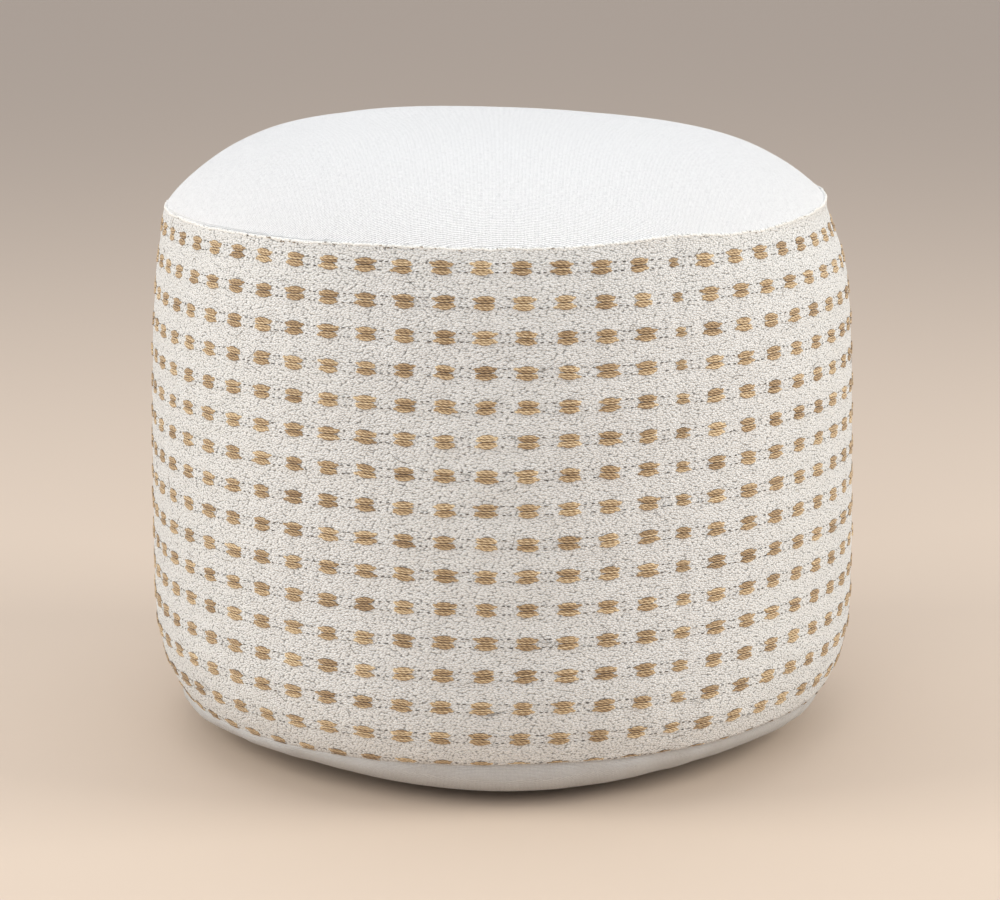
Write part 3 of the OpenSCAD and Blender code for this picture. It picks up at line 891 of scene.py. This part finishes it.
zip_tape = make_zip_tape()
finish_nodes(zip_tape, "zip_tape_upper", "zip_tape_lower")
teeth_shape = bmesh.new()
first_tooth = zip_azimuth - zip_half_angle + teeth_margin
zip_girth = 2 * (zip_half_angle - teeth_margin) * chain_radius
teeth = int(2 * zip_girth / tooth_pitch)
for k, tooth in enumerate(each_blank(teeth_shape, blank_floats(teeth_shape, teeth, 6, 5))):
    azimuth = first_tooth + (k + 0.5) * tooth_pitch / 2 / chain_radius
    side = 1 if k % 2 else -1
    middle = chain_middle + side * ((chain_high - chain_low) / 2 - tooth_half_length)
    depth = (chain_radius - tape_radius) / 2
    for v in tooth:
        full = (1.001 - v.co.x**2) ** -0.15
        angle = azimuth + (v.co.y * full * 0.00032 + 0.00015 * side * v.co.x) / chain_radius
        radius = tape_radius + depth * (1 + v.co.z * full)
        v.co = (radius * math.cos(angle), radius * math.sin(angle), middle + v.co.x * tooth_half_length)
coil_teeth = add_piece("zip_coil_teeth", teeth_shape, make_coil_nylon())
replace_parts(coil_teeth, "zip_chain_upper", "zip_chain_lower")
zip_metal = make_zip_metal()
rounded_copy("zip_stops", "zip_end_clips", 0.0002, zip_metal, "cover")
rounded_copy("zip_slider", "zip_slider_body", 0.00015, zip_metal, "slider")
rounded_copy("zip_pull", "zip_pull_tab", 0.00015, zip_metal, "pull")

# ---- Sewing threads ---------------------------------------------------------
# Ecru polyester thread in running stitches: the top and bottom seams, the band's upright
# join, the zip's two lines and the liner's two seams, all on the inner face of the cloth.
sewing_thread, tree, shader = new_material("sewing_thread", 0.6, Sheen_Weight=0.2)
where = object_place(tree)
place = girth_place(tree, where, belly_radius)
spot = put(tree, "ShaderNodeSeparateXYZ", Vector=place).outputs
run = calc(tree, "MULTIPLY", calc(tree, "ADD", spot[0], spot[1]), 2 * math.pi / 0.003)
stitch = calc(tree, "ABSOLUTE", calc(tree, "SINE", calc(tree, "MULTIPLY", run, 0.5)))
twist = calc(tree, "ABSOLUTE", calc(tree, "SINE", calc(tree, "MULTIPLY", run, 6.0)))
raised = calc(tree, "MULTIPLY_ADD", twist, 0.3, stitch)
raise_face(tree, shader, raised, 0.8, 0.0003)
# Painted shade: the colour darkens where the thread dips between stitches and in its twist grooves.
colour = ramp(tree, raised, (0.1, (0.36, 0.34, 0.30)), (0.6, (0.78, 0.76, 0.70)))
tree.links.new(colour, shader.inputs["Base Color"])
finish_nodes(sewing_thread, "bottom_seam_thread", "side_join_thread", "zip_seam_threads")

# ---- Liner and beads --------------------------------------------------------
# The fill is loose polystyrene beads, four millimetres across, in a zipless bag of thin
# white bonded cloth that keeps them in when the cover is taken off to be washed.
liner_cloth, tree, shader = new_material("liner_cloth", 0.85, Sheen_Weight=0.1)
where = object_place(tree)
fibres = put(tree, "ShaderNodeTexNoise", Vector=where, Scale=900.0, Detail=5.0).outputs["Fac"]
bonds = put(tree, "ShaderNodeTexVoronoi", Vector=where, Scale=700.0, Randomness=0.3).outputs["Distance"]
pressed = calc(tree, "MULTIPLY_ADD", bonds, 0.8, fibres)
raise_face(tree, shader, pressed, 0.5, 0.0002)
# The colour follows the bump's height: painted shade in the pressed bond dimples, over the real random
# cloud of the fibres.
colour = ramp(tree, pressed, (0.4, (0.74, 0.74, 0.73)), (0.9, (0.88, 0.88, 0.87)))
tree.links.new(colour, shader.inputs["Base Color"])
finish_nodes(liner_cloth, "liner_bottom")
beads, tree, shader = new_material("polystyrene_beads", 0.5, Subsurface_Weight=0.1)
where = object_place(tree)
cells = put(tree, "ShaderNodeTexVoronoi", Vector=where, Scale=250.0, Randomness=0.9).outputs["Distance"]
dome = calc(tree, "SUBTRACT", 1.0, calc(tree, "MULTIPLY", cells, 1.2))
raise_face(tree, shader, dome, 1.0, 0.0015)
# Painted shade: each bead darkens towards its edge, where it meets its neighbours.
colour = ramp(tree, dome, (0.15, (0.55, 0.55, 0.56)), (0.6, (0.90, 0.90, 0.90)))
tree.links.new(colour, shader.inputs["Base Color"])


def settled_copy(node, name, material, room):
    """A copy of a CAD piece of the inside, moved as the cover over it has settled."""
    bm = copy_cad(node)
    for v in bm.verts:
        x, y, z = v.co
        if z > band_high - 0.004:
            x, y, z = settle_crown(x, y, z)
            z -= room
        elif z > 0.08:
            azimuth = math.atan2(y, x)
            radius = math.hypot(x, y)
            share = 1 + (band_face(azimuth, z) - barrel(z) - room) / max(radius, 0.05)
            x, y = x * share, y * share
        v.co = (x, y, z)
    piece = add_piece(name, bm, material)
    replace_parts(piece, node)
    return piece


settled_copy("top_seam_thread", "top_seam_stitches", sewing_thread, 0)
settled_copy("liner_seam_threads", "liner_seam_stitches", sewing_thread, 0.0006)
settled_copy("liner_top", "liner_top_disc", liner_cloth, 0.0006)
settled_copy("liner_side", "liner_side_tube", liner_cloth, 0.0006)
bead_bag = settled_copy("bead_fill", "bead_filling", beads, 0.0006)
